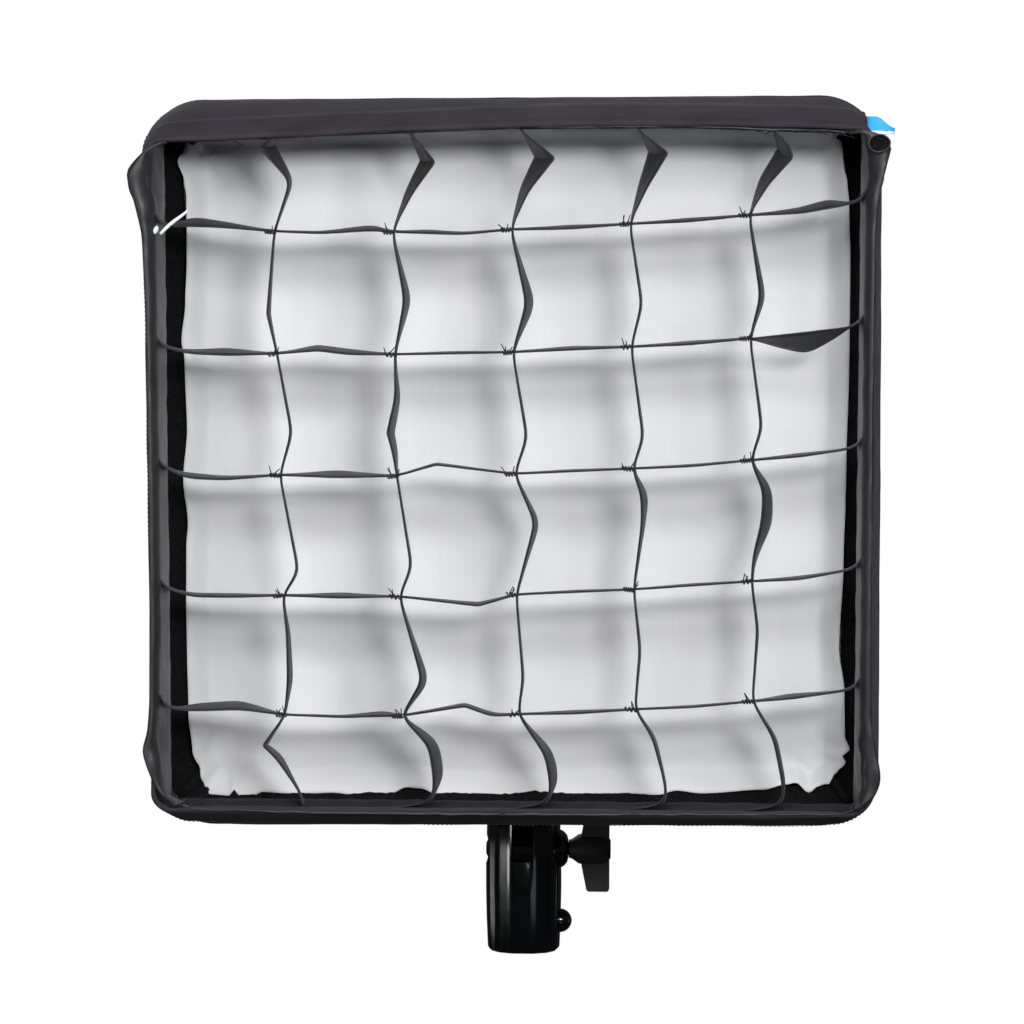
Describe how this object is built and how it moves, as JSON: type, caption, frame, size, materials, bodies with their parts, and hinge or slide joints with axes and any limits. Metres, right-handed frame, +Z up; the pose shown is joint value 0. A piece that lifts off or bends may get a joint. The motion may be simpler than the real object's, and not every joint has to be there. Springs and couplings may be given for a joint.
{
  "type": "softbox with egg-crate grid",
  "caption": "Square fabric softbox with a white front diffuser and a fabric egg-crate grid, on a tilting stand bracket with a T-shaped lock knob.",
  "frame": {"origin": "centre of the stand socket's mouth, on the bracket column's bottom face", "axes": "+Z up along the stand socket, the softbox faces -Y, +X is to the right of someone looking into the grid, where the knobs are"},
  "size_m": [0.419, 0.2207, 0.5275],
  "materials": {
    "outer_fabric": "matt charcoal polyester with a slight purple cast",
    "shell_fabric": "black nylon, silver coated inside",
    "loop_tape": "fuzzy black loop tape",
    "diffuser_cloth": "thin white diffusion cloth",
    "grid_fabric": "thin black nylon ribbon with a low sheen",
    "border_nylon": "coated grey-black nylon with a soft sheen",
    "frame_alloy": "black anodised, satin",
    "corner_plastic": "moulded, fine grain",
    "spring_steel": "drawn wire",
    "rib_fibreglass": "pultruded rod",
    "bracket_gloss": "gloss black",
    "knob_plastic": "moulded, satin",
    "dark_steel": "blackened steel",
    "bush_brass": "turned brass"
  },
  "bodies": {
    "bracket": {"bracket_column": "bracket_gloss", "socket_bush": "bush_brass", "pivot_bolt": "dark_steel", "pivot_washer": "dark_steel"},
    "tilt_flange": {"tilt_flange": "bracket_gloss"},
    "tilt_knob": {"tilt_knob": "knob_plastic"},
    "lock_washer": {"lock_washer": "dark_steel"},
    "lock_knob": {"lock_knob": "bracket_gloss", "lock_screw": "dark_steel"},
    "head": {"pivot_tongue": "bracket_gloss", "foot_screw_left": "dark_steel", "foot_screw_right": "dark_steel", "back_bar_top": "frame_alloy", "back_bar_right": "frame_alloy", "back_bar_bottom": "frame_alloy", "back_bar_left": "frame_alloy", "corner_block_top_right": "corner_plastic", "corner_block_bottom_right": "corner_plastic", "corner_block_bottom_left": "corner_plastic", "corner_block_top_left": "corner_plastic", "front_rod_top": "spring_steel", "front_rod_right": "spring_steel", "front_rod_bottom": "spring_steel", "front_rod_left": "spring_steel", "front_corner_top_right": "spring_steel", "front_corner_bottom_right": "spring_steel", "front_corner_bottom_left": "spring_steel", "front_corner_top_left": "spring_steel", "rib_top_right": "rib_fibreglass", "rib_bottom_right": "rib_fibreglass", "rib_bottom_left": "rib_fibreglass", "rib_top_left": "rib_fibreglass", "shell_top": "shell_fabric", "shell_right": "shell_fabric", "shell_bottom": "shell_fabric", "shell_left": "shell_fabric", "hood_top": "outer_fabric", "hood_right": "outer_fabric", "hood_bottom": "outer_fabric", "hood_left": "outer_fabric", "loop_tape_top": "loop_tape", "loop_tape_right": "loop_tape", "loop_tape_bottom": "loop_tape", "loop_tape_left": "loop_tape", "front_diffuser": "diffuser_cloth"},
    "grid": {"grid_band_top": "border_nylon", "grid_band_right": "border_nylon", "grid_band_bottom": "border_nylon", "grid_band_left": "border_nylon", "row_strip_1": "grid_fabric", "row_strip_2": "grid_fabric", "row_strip_3": "grid_fabric", "row_strip_4": "grid_fabric", "row_strip_5": "grid_fabric", "column_strip_1": "grid_fabric", "column_strip_2": "grid_fabric", "column_strip_3": "grid_fabric", "column_strip_4": "grid_fabric", "column_strip_5": "grid_fabric"}
  },
  "joints": [
    {"name": "head_tilt", "type": "hinge", "parent": "bracket", "child": "head", "pos_m": [0, 0, 0.063], "axis": [1, 0, 0], "range_deg": [-60, 75]},
    {"name": "tilt_clamp_travel", "type": "slide", "parent": "bracket", "child": "tilt_flange", "axis": [1, 0, 0], "range_m": [0, 0.00156]},
    {"name": "tilt_knob_turn", "type": "hinge", "parent": "tilt_flange", "child": "tilt_knob", "pos_m": [0, 0, 0.063], "axis": [1, 0, 0], "range_deg": [0, 452]},
    {"name": "lock_travel", "type": "slide", "parent": "bracket", "child": "lock_washer", "axis": [1, 0, 0], "range_m": [0, 0.0016]},
    {"name": "lock_knob_turn", "type": "hinge", "parent": "lock_washer", "child": "lock_knob", "pos_m": [0, 0, 0.0175], "axis": [1, 0, 0], "range_deg": [0, 722]},
    {"name": "grid_pull", "type": "slide", "parent": "head", "child": "grid", "axis": [0, -1, 0], "range_m": [0, 0.1]}
  ],
  "couplings": [
    {"joint": "tilt_knob_turn", "follows": "tilt_clamp_travel", "rad_per_m": 5026.5},
    {"joint": "lock_knob_turn", "follows": "lock_travel", "rad_per_m": 7854}
  ]
}
